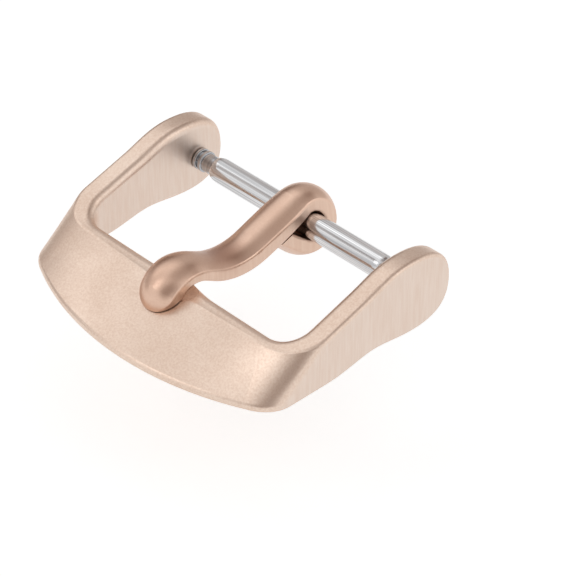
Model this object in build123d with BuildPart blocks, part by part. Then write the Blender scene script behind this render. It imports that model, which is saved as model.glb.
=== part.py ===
from build123d import *
import math
import os

os.makedirs("parts", exist_ok=True)

# Lengths are in millimetres; the origin is the middle of the spring bar's axis,
# with X along the bar, the broad front plate at -Y and +Z up.

# Frame: widths
strap_width = 20.0
arm_thickness = 1.81
window_corner_radius = 1.8

# Frame: side view, set back from the bar's axis toward the front, or raised above it
bar_height = 2.73
crest_height = 3.12
crest_setback = 1.5
lug_reach = 2.32
nose_height = 0.15
sole_setback = 0.95
sole_height = 2.55
waist_setback = 4.7
waist_height = 2.22
foot_setback = 8.9
shoulder_setback = 5.5
shoulder_height = 2.06
knee_radius = 3.0

# Frame: front plate
ridge_reach = 11.77
ridge_height = 0.21
ridge_width = 1.26
knee_gap = 0.5
brow_share = 1.1
brow_corner_radius = 3.5
apron_run = 6.13
apron_bulge = 3.75
apron_corner_radius = 3.0
outer_edge_radius = 0.35
window_edge_radius = 0.6

# Seat for the tongue: a shallow trough across the ridge, and a lip into the window
seat_depth = 0.35
seat_radius = 6.0
seat_tilt = 5.0
lip_reach = 0.35
lip_half_width = 3.2

# Spring bar
tube_diameter = 1.8
tube_bore = 1.5
tube_setback = 1.75
crimp_length = 0.65
crimp_diameter = 1.46
pin_diameter = 1.34
pin_head_length = 0.9
flange_diameter = 1.56
flange_width = 0.3
groove_width = 0.2
groove_diameter = 1.16
flange_edge_radius = 0.08
tip_diameter = 1.0
tip_length = 0.8
tip_chamfer = 0.12
hole_spare_depth = 0.2
spring_wire = 0.2
spring_diameter = 1.16
spring_pitch = 0.7

# Clearances: radial in round fits, otherwise between faces
hinge_clearance = 0.1
tip_clearance = 0.04
pin_clearance = 0.02
flange_clearance = 0.05
spring_clearance = 0.03
seat_clearance = 0.06
seam = 0.06

# Tongue: its path is the top edge of the straight sides, below the dome
side_height = 0.92
bar_width = 2.66
curl_width = 3.0
back_share = 0.45
back_width = 3.4
back_dome_height = 0.75
top_share = 0.8
curl_dome_height = 0.6
shank_angle = 19.7
shank_length = 4.1
shank_width = 2.74
shank_side_height = 1.1
dip_radius = 5.3
dip_side_height = 1.0
rise_angle = 25.5
rise_length = 1.0
hump_back_radius = 3.2
hump_width = 3.1
hump_side_height = 0.7
hump_dome_height = 0.6
hump_front_radius = 2.4
tip_angle = 50.0
tip_width = 3.0
tip_side_height = 1.0
tip_dome_height = 0.75
crown_trim = 0.008
dome_height = 0.5
dome_edge_radius = 0.25
underside_radius = 0.2
curl_angle = 38.5
curl_length = 3.4

# How far cutting shapes run past what they cut
overrun = 1.0

apron_reach = ridge_reach + apron_run
knee_setback = ridge_reach - knee_gap
half_gap = strap_width / 2
half_width = half_gap + arm_thickness
back = lug_reach + overrun
window_front = ridge_width - ridge_reach
tube_radius = tube_diameter / 2

# The plate's face is carried on a little past the ridge, to a plane that rises along the arms
arm_slope = math.atan2(shoulder_height - ridge_height, knee_setback - shoulder_setback)
brow_y = -apron_reach + brow_share * (apron_reach - ridge_reach)
brow_z = -bar_height + brow_share * (bar_height + ridge_height)
brow_length = (back - brow_y) / math.cos(arm_slope)
brow_plane = Plane(
    origin=(0, brow_y, brow_z),
    x_dir=(1, 0, 0),
    z_dir=(0, -math.sin(arm_slope), math.cos(arm_slope)),
)

# The seat's floor runs out down the face at its own tilt
seat_plane = Plane(
    origin=(0, -ridge_reach, ridge_height - seat_depth),
    x_dir=(1, 0, 0),
    z_dir=(0, -math.cos(math.radians(seat_tilt)), -math.sin(math.radians(seat_tilt))),
)

# Frame body: a ruled plate between the lower outline and the ridge outline
with BuildPart() as buckle_frame:
    with BuildSketch(Plane.XY.offset(-bar_height)) as apron_outline:
        with BuildLine():
            side = apron_bulge - apron_reach
            ThreePointArc((-half_width, side), (0, -apron_reach), (half_width, side))
            Polyline((half_width, side), (half_width, back), (-half_width, back), (-half_width, side))
        make_face()
        fillet(vertices().group_by(Axis.Y)[0], apron_corner_radius)
    with BuildSketch(brow_plane):
        with Locations((0, brow_length / 2)):
            Rectangle(2 * half_width, brow_length)
        fillet(vertices().group_by(Axis.Y)[0], brow_corner_radius)
    loft(ruled=True)
    extrude(apron_outline.sketch, amount=-overrun)

    # Side view, kept across the whole width
    with BuildSketch(Plane.YZ):
        with BuildLine():
            crest = (-crest_setback, crest_height)
            nose = (lug_reach, nose_height)
            sole = (-sole_setback, -sole_height)
            waist = (-waist_setback, -waist_height)
            foot = (-foot_setback, -bar_height)
            shoulder = (-shoulder_setback, shoulder_height)
            knee = (-knee_setback, ridge_height)
            tip = (-apron_reach - overrun, ridge_height)
            rise = (knee_setback - shoulder_setback, shoulder_height - ridge_height)
            Polyline(tip, knee, shoulder)
            Spline(shoulder, crest, tangents=[rise, (1, 0)])
            Spline(crest, nose, tangents=[(1, 0), (0, -1)])
            Spline(nose, sole, tangents=[(0, -1), (-1, 0)])
            Spline(sole, waist, foot, tangents=[(-1, 0), (-1, 0)])
            Polyline(foot, (-apron_reach - overrun, -bar_height), tip)
        make_face()
        fillet(vertices().sort_by_distance(knee)[0], knee_radius)
    extrude(amount=half_width + overrun, both=True, mode=Mode.INTERSECT)

    # Window between the arms, with the lip that reaches in under the tongue
    with BuildSketch(Plane.XY.offset(-bar_height - overrun)):
        with BuildLine():
            lip_start = (-lip_half_width, window_front)
            lip_top = (0, window_front + lip_reach)
            lip_end = (lip_half_width, window_front)
            Spline(lip_start, lip_top, lip_end, tangents=[(1, 0), (1, 0)])
            Polyline(lip_end, (half_gap, window_front), (half_gap, back))
            Polyline((half_gap, back), (-half_gap, back), (-half_gap, window_front), lip_start)
        make_face()
        corners = vertices().group_by(Axis.Y)[0].sort_by(Axis.X)
        fillet([corners[0], corners[-1]], window_corner_radius)
    extrude(amount=bar_height + crest_height + 2 * overrun, mode=Mode.SUBTRACT)

    # Rounded edges: one unbroken edge runs all round the outside, and another round the window
    for x, radius in ((-half_width, outer_edge_radius), (-half_gap, window_edge_radius)):
        fillet(edges().sort_by_distance((x, *nose))[0], radius)

    # Seat trough, run out down the face
    with BuildSketch(seat_plane):
        with Locations((0, seat_radius)):
            Circle(seat_radius)
    extrude(amount=apron_reach, both=True, mode=Mode.SUBTRACT)

    # Blind holes for the pin tips
    with BuildSketch(Plane.YZ):
        Circle(tip_diameter / 2 + tip_clearance)
    extrude(amount=half_gap + tip_length + hole_spare_depth, both=True, mode=Mode.SUBTRACT)
buckle_frame.part.label = "buckle_frame"
export_step(buckle_frame.part, "parts/buckle_frame.step")


# Tongue: one strip bent round the bar, with its free end tucked under the shank
loop_radius = tube_radius + hinge_clearance + side_height
shank_slope = math.radians(shank_angle)
curl_slope = math.radians(curl_angle)
root = (-loop_radius * math.sin(shank_slope), loop_radius * math.cos(shank_slope))
ahead = (-math.cos(shank_slope), -math.sin(shank_slope))


def strip_section(line, place, width, side, dome):
    """Flat underside, straight sides and a domed top, square to the line at a place on it."""
    with BuildSketch(Plane(origin=line @ place, x_dir=(1, 0, 0), z_dir=line % place)) as section:
        with BuildLine():
            ThreePointArc((-width / 2, 0), (0, dome), (width / 2, 0))
            Polyline((width / 2, 0), (width / 2, -side), (-width / 2, -side), (-width / 2, 0))
        make_face()
        fillet(section.sketch_local.vertices().group_by(Axis.Y)[0], underside_radius)
        fillet(section.sketch_local.vertices().group_by(Axis.Y)[-1], dome_edge_radius)
    return section.sketch


# Room that the tongue keeps clear of the ridge and of the face below it
with BuildPart() as seat_room:
    with BuildSketch(Plane.YZ):
        with BuildLine():
            face_slope = math.atan2(bar_height + ridge_height, apron_reach - ridge_reach)
            rear = window_front + lip_reach + seat_clearance
            top = ridge_height + seat_clearance
            crease = -ridge_reach - seat_clearance * math.tan(face_slope / 2)
            fall = (crease + apron_reach + overrun) * math.tan(face_slope)
            Polyline((rear, -bar_height), (rear, top), (crease, top))
            Polyline((crease, top), (-apron_reach - overrun, top - fall), (rear, -bar_height))
        make_face()
    extrude(amount=half_gap, both=True)
    with BuildSketch(seat_plane):
        with Locations((0, seat_radius)):
            Circle(seat_radius - seat_clearance)
    extrude(amount=apron_reach, both=True, mode=Mode.SUBTRACT)

with BuildPart() as tongue:
    # Paths: round the bar from the free end, and forward along the shank to the tip
    with BuildLine(Plane.YZ) as curl_line:
        loop = CenterArc((0, 0), loop_radius, -90 - curl_angle, curl_angle + 180 + shank_angle)
        free_end = Line(loop @ 0 - (loop % 0) * curl_length, loop @ 0)
    with BuildLine(Plane.YZ) as strip_line:
        shank = PolarLine(root, shank_length, direction=ahead)
        dip = JernArc(shank @ 1, shank % 1, dip_radius, -(shank_angle + rise_angle))
        climb = PolarLine(dip @ 1, rise_length, direction=dip % 1)
        hump_back = JernArc(climb @ 1, climb % 1, hump_back_radius, rise_angle)
        hump_front = JernArc(hump_back @ 1, hump_back % 1, hump_front_radius, tip_angle)

    # Free end and loop
    stations = [
        (free_end, 0, curl_width, side_height, curl_dome_height),
        (loop, 0, curl_width, side_height, curl_dome_height),
        (loop, back_share, back_width, side_height, back_dome_height),
        (loop, top_share, bar_width, side_height, dome_height),
        (loop, 1, bar_width, side_height, dome_height),
    ]
    sections = [strip_section(*station) for station in stations]
    sweep(sections=sections, path=curl_line.wire(), multisection=True)

    # The free end stops short of the shank's underside
    with BuildSketch(Plane.YZ):
        with BuildLine():
            under = shank_side_height + seam
            start = (root[0] + under * math.sin(shank_slope), root[1] - under * math.cos(shank_slope))
            start = (start[0] + ahead[0] * side_height, start[1] + ahead[1] * side_height)
            reach = 2 * curl_length
            stop = (start[0] + ahead[0] * reach, start[1] + ahead[1] * reach)
            Polyline(start, stop, (stop[0], start[1] + reach), (start[0], start[1] + reach), start)
        make_face()
    extrude(amount=bar_width, both=True, mode=Mode.SUBTRACT)

    # Shank, dip, and hump over the ridge
    stations = [
        (shank, 0, bar_width, side_height, dome_height),
        (dip, 0, shank_width, shank_side_height, dome_height),
        (dip, 0.5, shank_width, dip_side_height, dome_height),
        (hump_back, 1, hump_width, hump_side_height, hump_dome_height),
        (hump_front, 1, tip_width, tip_side_height, tip_dome_height),
    ]
    sections = [strip_section(*station) for station in stations]
    sweep(sections=sections, path=strip_line.wire(), multisection=True)

    # Rounded tip: half of the strip's end face, turned about its middle
    tip_plane = Plane(origin=hump_front @ 1, x_dir=(1, 0, 0), z_dir=hump_front % 1)
    end_face = faces().sort_by_distance(hump_front @ 1)[0]
    with BuildSketch(tip_plane):
        add(tip_plane.to_local_coords(end_face))
        with Locations((tip_width / 2, 0)):
            Rectangle(tip_width, 4 * tip_side_height, mode=Mode.INTERSECT)
    revolve(axis=Axis(tip_plane.origin, -tip_plane.y_dir), revolution_arc=180)

    # A hair off the crown of the tip, where its faces would meet in one point
    crown = tip_plane.origin + tip_plane.y_dir * (tip_dome_height - crown_trim)
    with BuildSketch(Plane(origin=crown, x_dir=(1, 0, 0), z_dir=tip_plane.y_dir)):
        Rectangle(tip_width, tip_width)
    extrude(amount=tip_dome_height, mode=Mode.SUBTRACT)

    # Underside of the tip, fitted to the seat
    add(seat_room.part, mode=Mode.SUBTRACT)
tongue.part.label = "tongue"
export_step(tongue.part, "parts/tongue.step")

# Spring bar tube: straight, with both ends rolled in to keep the pins
half_tube = half_gap - tube_setback
neck_radius = pin_diameter / 2 + pin_clearance
with BuildPart() as spring_bar_tube:
    with BuildSketch():
        with BuildLine():
            crimp_start = half_tube - crimp_length
            Line((0, tube_radius), (crimp_start, tube_radius))
            Spline(
                (crimp_start, tube_radius),
                (half_tube, crimp_diameter / 2),
                tangents=[(1, 0), (1, -1)],
            )
            Polyline(
                (half_tube, crimp_diameter / 2),
                (half_tube, neck_radius),
                (crimp_start, neck_radius),
                (crimp_start, tube_bore / 2),
                (0, tube_bore / 2),
                (0, tube_radius),
            )
        make_face()
        mirror(about=Plane.YZ)
    revolve(axis=Axis.X)
spring_bar_tube.part.label = "spring_bar_tube"
export_step(spring_bar_tube.part, "parts/spring_bar_tube.step")

# Pins: a head kept inside the tube, a double flange against the arm, and a tip in the arm's hole
head_face = crimp_start - flange_clearance
head_end = head_face - pin_head_length
flange_face = half_gap - flange_clearance
groove_face = flange_face - flange_width
groove_back = groove_face - groove_width
flange_back = groove_back - flange_width
tip_end = flange_face + tip_length
profile = [
    (head_end, 0),
    (head_end, tube_bore / 2 - pin_clearance),
    (head_face, tube_bore / 2 - pin_clearance),
    (head_face, pin_diameter / 2),
    (flange_back, pin_diameter / 2),
    (flange_back, flange_diameter / 2),
    (groove_back, flange_diameter / 2),
    (groove_back, groove_diameter / 2),
    (groove_face, groove_diameter / 2),
    (groove_face, flange_diameter / 2),
    (flange_face, flange_diameter / 2),
    (flange_face, tip_diameter / 2),
    (tip_end, tip_diameter / 2),
    (tip_end, 0),
]
for side, name in ((-1, "spring_bar_pin_left"), (1, "spring_bar_pin_right")):
    with BuildPart() as pin:
        with BuildSketch(Plane(origin=(0, 0, 0), x_dir=(side, 0, 0), z_dir=(0, 0, side))) as half:
            with BuildLine():
                Polyline(*profile, close=True)
            make_face()
            fillet(half.sketch_local.vertices().group_by(Axis.Y)[-1], flange_edge_radius)
            tip_rim = half.sketch_local.vertices().sort_by_distance((tip_end, tip_diameter / 2))[0]
            chamfer(tip_rim, tip_chamfer)
        revolve(axis=Axis.X)
    pin.part.label = name
    export_step(pin.part, "parts/" + name + ".step")

# Coil spring between the two pin heads
spring_length = 2 * head_end - 2 * spring_clearance - spring_wire
with BuildPart() as spring_bar_spring:
    with BuildLine():
        coil = Helix(
            pitch=spring_pitch,
            height=spring_length,
            radius=(spring_diameter - spring_wire) / 2,
            center=(-spring_length / 2, 0, 0),
            direction=(1, 0, 0),
        )
    with BuildSketch(Plane(origin=coil @ 0, z_dir=coil % 0)):
        Circle(spring_wire / 2)
    sweep(is_frenet=True)
spring_bar_spring.part.label = "spring_bar_spring"
export_step(spring_bar_spring.part, "parts/spring_bar_spring.step")
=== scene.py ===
import math

import bmesh
import bpy
from mathutils import Matrix, Vector


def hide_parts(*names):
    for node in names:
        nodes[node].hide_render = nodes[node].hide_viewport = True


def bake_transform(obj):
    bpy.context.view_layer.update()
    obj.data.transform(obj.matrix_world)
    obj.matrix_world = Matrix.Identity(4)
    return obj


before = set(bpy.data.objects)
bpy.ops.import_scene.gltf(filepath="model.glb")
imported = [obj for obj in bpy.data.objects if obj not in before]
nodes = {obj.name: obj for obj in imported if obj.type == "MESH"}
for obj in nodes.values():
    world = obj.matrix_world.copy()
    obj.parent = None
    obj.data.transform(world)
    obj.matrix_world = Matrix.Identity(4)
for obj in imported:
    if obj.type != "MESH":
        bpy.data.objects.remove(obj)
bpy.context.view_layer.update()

MM = 0.001
MICRON = 0.000001
WHITE = (1, 1, 1, 1)
BLACK = (0, 0, 0, 1)
scene = bpy.context.scene


# Camera: turned to the photograph's viewing angle, with the bar's middle at its pixel
IMAGE = 576
AZIMUTH = 46.0
ELEVATION = 36.77
ROLL = 0.24
BAR_PIXEL = (299.45, 217.32)
DISTANCE = 166.4 * MM
FOCAL_PIXELS = 2467.7
SENSOR = 36.0
CLIP_START = 5 * MM
CLIP_END = 20


def add_camera():
    a, e, r = math.radians(AZIMUTH), math.radians(ELEVATION), math.radians(ROLL)
    level = Vector((math.cos(a), math.sin(a), 0))
    upright = Vector((-math.sin(a) * math.sin(e), math.cos(a) * math.sin(e), math.cos(e)))
    back = toward(AZIMUTH, ELEVATION)
    right = level * math.cos(r) + upright * math.sin(r)
    up = upright * math.cos(r) - level * math.sin(r)
    off_x = (BAR_PIXEL[0] - IMAGE / 2) * DISTANCE / FOCAL_PIXELS
    off_y = (BAR_PIXEL[1] - IMAGE / 2) * DISTANCE / FOCAL_PIXELS
    data = bpy.data.cameras.new("camera")
    data.sensor_width = SENSOR
    data.lens = FOCAL_PIXELS / IMAGE * SENSOR
    data.clip_start = CLIP_START
    data.clip_end = CLIP_END
    camera = place("camera", data)
    camera.matrix_world = Matrix((right, up, back)).transposed().to_4x4()
    camera.matrix_world.translation = -off_x * right + off_y * up + DISTANCE * back
    scene.camera = camera


# Shared helpers
def toward(azimuth, elevation):
    """Unit vector from the buckle to a place in the studio, in the camera's own angles."""
    a, e = math.radians(azimuth), math.radians(elevation)
    return Vector((math.sin(a) * math.cos(e), -math.cos(a) * math.cos(e), math.sin(e)))


def place(name, data):
    """A new object in the scene that shows the data."""
    thing = bpy.data.objects.new(name, data)
    scene.collection.objects.link(thing)
    return thing


def rgb(red, green, blue):
    """A colour as it looks on screen, 0 to 255, as linear numbers."""
    def linear(value):
        value = value / 255
        return value / 12.92 if value <= 0.04045 else ((value + 0.055) / 1.055) ** 2.4

    return (linear(red), linear(green), linear(blue), 1.0)


class Tree:
    """A node tree, with short calls for the nodes that the finishes and the studio use."""

    def __init__(self, owner):
        owner.use_nodes = True
        self.nodes = owner.node_tree.nodes
        self.links = owner.node_tree.links

    def put(self, socket, value):
        """A number or colour goes on the socket, and another node's output is linked to it."""
        if isinstance(value, bpy.types.NodeSocket):
            self.links.new(value, socket)
        else:
            socket.default_value = value

    def coords(self, kind):
        return self.nodes.new("ShaderNodeTexCoord").outputs[kind]

    def ray(self, kind):
        return self.nodes.new("ShaderNodeLightPath").outputs[kind]

    def noise(self, factors, detail=2.0, rough=0.5):
        """Noise with so many lumps to a metre along each axis of the object."""
        scaled = self.nodes.new("ShaderNodeMapping")
        scaled.inputs["Scale"].default_value = factors
        self.links.new(self.coords("Object"), scaled.inputs["Vector"])
        node = self.nodes.new("ShaderNodeTexNoise")
        node.inputs["Scale"].default_value = 1.0
        node.inputs["Detail"].default_value = detail
        node.inputs["Roughness"].default_value = rough
        self.links.new(scaled.outputs["Vector"], node.inputs["Vector"])
        return node.outputs["Fac"]

    def math(self, kind, a, b=0.0, c=0.0):
        node = self.nodes.new("ShaderNodeMath")
        node.operation = kind
        for socket, value in zip(node.inputs, (a, b, c)):
            self.put(socket, value)
        return node.outputs[0]

    def vector(self, kind, result, a, b=(0, 0, 0)):
        node = self.nodes.new("ShaderNodeVectorMath")
        node.operation = kind
        self.links.new(a, node.inputs[0])
        node.inputs[1].default_value = b
        return node.outputs[result]

    def parts(self, vector):
        node = self.nodes.new("ShaderNodeSeparateXYZ")
        self.links.new(vector, node.inputs[0])
        return node.outputs

    def spread(self, value, low, high, to_low, to_high, soft=False):
        """Turns the span from low to high into the span from to_low to to_high, and stops at its ends."""
        node = self.nodes.new("ShaderNodeMapRange")
        for name, number in (("From Min", low), ("From Max", high), ("To Min", to_low), ("To Max", to_high)):
            node.inputs[name].default_value = number
        if soft:
            node.interpolation_type = "SMOOTHSTEP"
        self.links.new(value, node.inputs["Value"])
        return node.outputs["Result"]

    def mix(self, share, a, b):
        node = self.nodes.new("ShaderNodeMix")
        node.data_type = "RGBA"
        self.put(node.inputs["Factor"], share)
        self.put(node.inputs["A"], a)
        self.put(node.inputs["B"], b)
        return node.outputs["Result"]

    def bump(self, height, depth, strength=1.0, below=None):
        node = self.nodes.new("ShaderNodeBump")
        node.inputs["Strength"].default_value = strength
        node.inputs["Distance"].default_value = depth
        self.links.new(height, node.inputs["Height"])
        if below is not None:
            self.links.new(below, node.inputs["Normal"])
        return node.outputs["Normal"]


class Finish(Tree):
    """A material and its shader."""

    def __init__(self, name):
        self.material = bpy.data.materials.new(name)
        super().__init__(self.material)
        self.shader = self.nodes["Principled BSDF"]

    def set(self, **values):
        for name, value in values.items():
            self.put(self.shader.inputs[name.replace("_", " ")], value)


# Finishes
NOISE_SPAN = (0.3, 0.7)
NARROW_SPAN = (0.35, 0.65)

CLOUDS = (260, 260, 260)
GRAIN = (7200, 7200, 7200)
GRAIN_ROUGH = 0.6
STROKES = (2500, 5200, 420)
FLAT_SIDE = (0.85, 0.98)
CLOUD_TONE = (0.2, 0.6)
STROKE_TONE = (0.0, 0.35)
STROKE_STRENGTH = 0.2
CLOUD_ROUGHNESS = 0.03
SPECKLE_SPLIT = 10

STAINS = (500, 500, 500)
STAIN_ROUGHNESS = (-0.02, 0.03)
LINE_ROUGHNESS = (0.03, 0.04)
LINE_DEPTH = 4 * MICRON


def satin_gold(name, pale, deep, flank, roughness, speckle, grain_depth, painted_shade=None):
    """Rose-gold plating over a blasted surface: fine grain, soft clouds, faint strokes on the flat sides, and painted
    shade in a hollow where one is given.
    """
    t = Finish(name)
    clouds = t.noise(CLOUDS, detail=3.0)
    fine = t.noise(GRAIN, rough=GRAIN_ROUGH)
    strokes = t.noise(STROKES, detail=3.0)
    side = t.spread(t.math("ABSOLUTE", t.parts(t.coords("Normal"))[0]), *FLAT_SIDE, 0.0, 1.0)
    tone = t.math("ADD", t.spread(clouds, *NOISE_SPAN, *CLOUD_TONE),
                  t.spread(fine, *NARROW_SPAN, -speckle, speckle))
    flank_tone = t.mix(t.spread(strokes, *NARROW_SPAN, *STROKE_TONE), flank, deep)
    colour = t.mix(side, t.mix(tone, pale, deep), flank_tone)
    if painted_shade is not None:
        # Painted shade: the colour darkens toward the hollow's middle in place of the darker reflection there
        middle, radius, most, shade = painted_shade
        painted_shade_share = t.spread(t.vector("DISTANCE", "Value", t.coords("Object"), middle), 0.0, radius, most, 0.0, soft=True)
        colour = t.mix(painted_shade_share, colour, shade)
    speckle_rough = speckle / SPECKLE_SPLIT
    rough = t.math("ADD", t.spread(clouds, *NOISE_SPAN, roughness - CLOUD_ROUGHNESS, roughness + CLOUD_ROUGHNESS),
                   t.spread(fine, *NOISE_SPAN, -speckle_rough, speckle_rough))
    grain = t.bump(fine, grain_depth)
    brushed = t.bump(t.math("MULTIPLY", strokes, side), grain_depth, STROKE_STRENGTH, grain)
    t.set(Base_Color=colour, Metallic=1.0, Roughness=rough, Normal=brushed)
    return t.material


def drawn_steel(name, pale, deep, roughness, along, around):
    """Bright steel with fine lines along or round the bar."""
    t = Finish(name)
    lines = t.noise((along, around, around), detail=3.0)
    stains = t.noise(STAINS)
    rough = t.math("ADD", t.spread(lines, *NOISE_SPAN, roughness - LINE_ROUGHNESS[0], roughness + LINE_ROUGHNESS[1]),
                   t.spread(stains, *NOISE_SPAN, *STAIN_ROUGHNESS))
    t.set(Base_Color=t.mix(t.spread(lines, *NOISE_SPAN, 0.0, 1.0), pale, deep), Metallic=1.0, Roughness=rough,
          Normal=t.bump(lines, LINE_DEPTH))
    return t.material


# Painted shade in the tongue's dip, darker than the rest where its reflection goes dark: its middle, its radius, the
# most of the shade, and the shade colour
DIP_PAINTED_SHADE = ((0, -7.2 * MM, 1.2 * MM), 2.6 * MM, 0.8, rgb(178, 134, 114))

finishes = {
    "buckle_frame": satin_gold("rose_gold_satin", rgb(235, 214, 198), rgb(217, 190, 171), rgb(231, 213, 200),
                               roughness=0.35, speckle=0.28, grain_depth=4 * MICRON),
    "tongue": satin_gold("rose_gold_tongue", rgb(230, 199, 179), rgb(210, 173, 151), rgb(226, 197, 178),
                         roughness=0.32, speckle=0.1, grain_depth=MICRON, painted_shade=DIP_PAINTED_SHADE),
    "spring_bar_tube": drawn_steel("bar_steel", rgb(243, 243, 244), rgb(168, 168, 170),
                                   roughness=0.12, along=60, around=7000),
    "spring_bar_pin_left": drawn_steel("pin_steel", rgb(206, 207, 210), rgb(150, 151, 154),
                                       roughness=0.16, along=9000, around=300),
    "spring_bar_spring": drawn_steel("spring_steel", rgb(190, 190, 192), rgb(160, 160, 163),
                                     roughness=0.3, along=3000, around=3000),
}
finishes["spring_bar_pin_right"] = finishes["spring_bar_pin_left"]
for name, material in finishes.items():
    slots = nodes[name].material_slots
    if slots:
        for slot in slots:
            slot.material = material
    else:
        nodes[name].data.materials.append(material)


def add_spring():
    """The coil cut in two halves at its middle, each capped where it is cut."""
    solid = nodes["spring_bar_spring"]
    for side, out in (("left", -1), ("right", 1)):
        work = bmesh.new()
        work.from_mesh(solid.data)
        work.transform(solid.matrix_world)
        every = work.verts[:] + work.edges[:] + work.faces[:]
        cut = bmesh.ops.bisect_plane(work, geom=every, plane_co=(0, 0, 0), plane_no=(-out, 0, 0), clear_outer=True)
        bmesh.ops.holes_fill(work, edges=[e for e in cut["geom_cut"] if isinstance(e, bmesh.types.BMEdge)])
        mesh = bpy.data.meshes.new("spring_half_" + side)
        work.to_mesh(mesh)
        work.free()
        mesh.materials.append(finishes["spring_bar_spring"])
        half = place("spring_half_" + side, mesh)
        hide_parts("spring_bar_spring")
        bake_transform(half)


# Studio
WORLD_LIGHT = 0.55
WORLD_SEEN = 1.0

TABLE = -10.6 * MM
TABLE_REACH = 3.0
TABLE_COLOUR = (0.86, 0.86, 0.86, 1)
TABLE_SEEN = 0.52
TABLE_MIRRORED = 0.46


def add_world():
    """White where a camera, mirror or glass looks at it, and a plain level for the light that it gives."""
    world = bpy.data.worlds.new("studio")
    scene.world = world
    t = Tree(world)
    seen = t.math("MAXIMUM", t.math("MAXIMUM", t.ray("Is Camera Ray"), t.ray("Is Glossy Ray")),
                  t.ray("Is Transmission Ray"))
    background = t.nodes["Background"]
    background.inputs["Color"].default_value = WHITE
    t.put(background.inputs["Strength"], t.spread(seen, 0.0, 1.0, WORLD_LIGHT, WORLD_SEEN))


def add_floor():
    """A pale table, low enough for the tongue's whole swing, white where it is seen, that keeps a faint shadow."""
    mesh = bpy.data.meshes.new("floor")
    corners = [(x * TABLE_REACH, y * TABLE_REACH, TABLE) for x, y in ((-1, -1), (1, -1), (1, 1), (-1, 1))]
    mesh.from_pydata(corners, [], [(0, 1, 2, 3)])
    floor = place("floor", mesh)
    t = Finish("floor_paper")
    glow = t.math("MULTIPLY_ADD", t.ray("Is Glossy Ray"), TABLE_MIRRORED,
                  t.math("MULTIPLY", t.ray("Is Camera Ray"), TABLE_SEEN))
    t.set(Base_Color=TABLE_COLOUR, Roughness=0.9, Specular_IOR_Level=0.1, Emission_Color=WHITE, Emission_Strength=glow)
    mesh.materials.append(t.material)


# The tent's grey parts. Spans across and up are parts of a unit vector from the buckle, and a lean is an
# angle in degrees from straight up toward the back. Four numbers are where a part starts, is full, starts
# to end and is over. An opening has its place, the angles within and beyond which it is full and gone,
# and its depth.
TENT_RADIUS = 0.9
TENT_RINGS = 12
TENT_TURNS = 48
BACK_LEAN = (16, 46)
BACK_ACROSS = (-0.1, 0.3)
BACK_DEPTH = 0.46
ROOF_LEAN = (-22, -6, 40, 58)
ROOF_ACROSS = (-0.32, -0.02, 0.38, 0.62)
ROOF_DEPTH = 0.6
LEFT_ACROSS = (-0.86, -0.62)
LEFT_UP = (0.28, 0.62)
LEFT_DEPTH = 0.55
CAMERA_OPENING = ((38, 38), (14, 33), 0.76)
PANEL_GAP = ((-55, 45), (4, 15), 0.5)
DARKEST = 0.06
GREY_TINT = (0.13, 0.06, 0.03, 1)


def dome(radius, rings, turns):
    """Half a sphere, open below."""
    points = [(0, 0, radius)]
    faces = [(0, 1 + k, 1 + (k + 1) % turns) for k in range(turns)]
    for i in range(1, rings + 1):
        down = math.pi / 2 * i / rings
        for k in range(turns):
            turn = 2 * math.pi * k / turns
            points.append((radius * math.sin(down) * math.cos(turn), radius * math.sin(down) * math.sin(turn),
                           radius * math.cos(down)))
            if i < rings:
                a, b = 1 + (i - 1) * turns, 1 + i * turns
                faces.append((a + k, b + k, b + (k + 1) % turns, a + (k + 1) % turns))
    return points, faces


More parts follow.
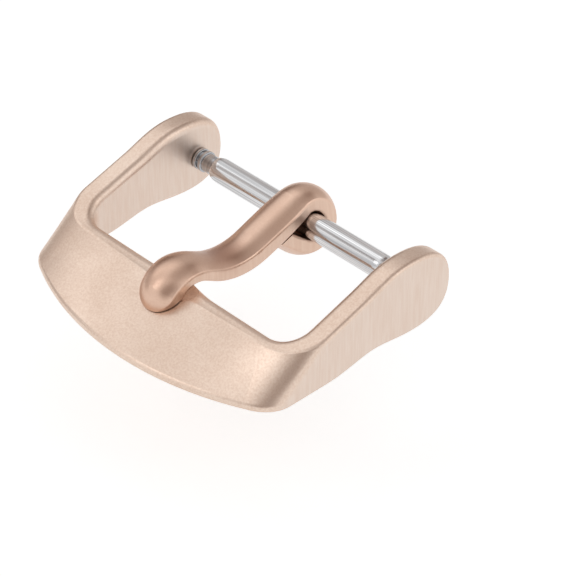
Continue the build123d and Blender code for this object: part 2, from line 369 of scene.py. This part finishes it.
def add_tent():
    """The studio tent, which only the metal's reflections see: white cloth with grey gaps between its panels."""
    points, faces = dome(TENT_RADIUS, TENT_RINGS, TENT_TURNS)
    mesh = bpy.data.meshes.new("tent")
    mesh.from_pydata(points, [], faces)
    tent = place("tent", mesh)

    t = Finish("tent_cloth")
    way = t.vector("NORMALIZE", "Vector", t.coords("Object"))
    x, y, z = t.parts(way)
    lean = t.math("MULTIPLY", t.math("ARCTAN2", y, z), math.degrees(1))

    def rise(value, low, high):
        return t.spread(value, low, high, 0.0, 1.0, soft=True)

    def fall(value, low, high):
        return t.spread(value, low, high, 1.0, 0.0, soft=True)

    def window(value, rise_from, rise_to, fall_from, fall_to):
        return t.math("MULTIPLY", rise(value, rise_from, rise_to), fall(value, fall_from, fall_to))

    # Each grey part: where it is full, and its depth
    greys = [
        (t.math("MULTIPLY", fall(x, *BACK_ACROSS), rise(lean, *BACK_LEAN)), BACK_DEPTH),
        (t.math("MULTIPLY", window(lean, *ROOF_LEAN), window(x, *ROOF_ACROSS)), ROOF_DEPTH),
        (t.math("MULTIPLY", fall(x, *LEFT_ACROSS), fall(z, *LEFT_UP)), LEFT_DEPTH),
    ]
    for middle, (inner, outer), depth in (CAMERA_OPENING, PANEL_GAP):
        nearness = t.vector("DOT_PRODUCT", "Value", way, toward(*middle))
        greys.append((rise(nearness, math.cos(math.radians(outer)), math.cos(math.radians(inner))), depth))
    level = 1.0
    for where, depth in greys:
        level = t.math("SUBTRACT", level, t.math("MULTIPLY", where, depth))
    level = t.math("MAXIMUM", level, DARKEST)

    t.set(Base_Color=BLACK, Roughness=1.0, Specular_IOR_Level=0.0, Emission_Color=t.mix(level, GREY_TINT, WHITE),
          Emission_Strength=1.0)
    mesh.materials.append(t.material)
    for ray in ("camera", "diffuse", "transmission", "shadow", "volume_scatter"):
        setattr(tent, "visible_" + ray, False)


# Lamps: name, azimuth, elevation, width in metres and watts, all at one distance
LAMP_DISTANCE = 0.6
LAMPS = (
    ("key", -30, 45, 0.26, 0.15),
    ("side", -78, 38, 0.24, 0.055),
    ("roof", -110, 60, 0.22, 0.03),
    ("fill", 120, 35, 0.3, 0.1),
)


def add_lamp(name, azimuth, elevation, size, watts):
    data = bpy.data.lights.new(name, "AREA")
    data.shape = "DISK"
    data.size = size
    data.energy = watts
    lamp = place(name, data)
    way = toward(azimuth, elevation)
    lamp.location = way * LAMP_DISTANCE
    lamp.rotation_euler = way.to_track_quat("Z", "Y").to_euler()


add_camera()
add_spring()
add_world()
add_floor()
add_tent()
for lamp in LAMPS:
    add_lamp(*lamp)

scene.view_settings.view_transform = "Standard"
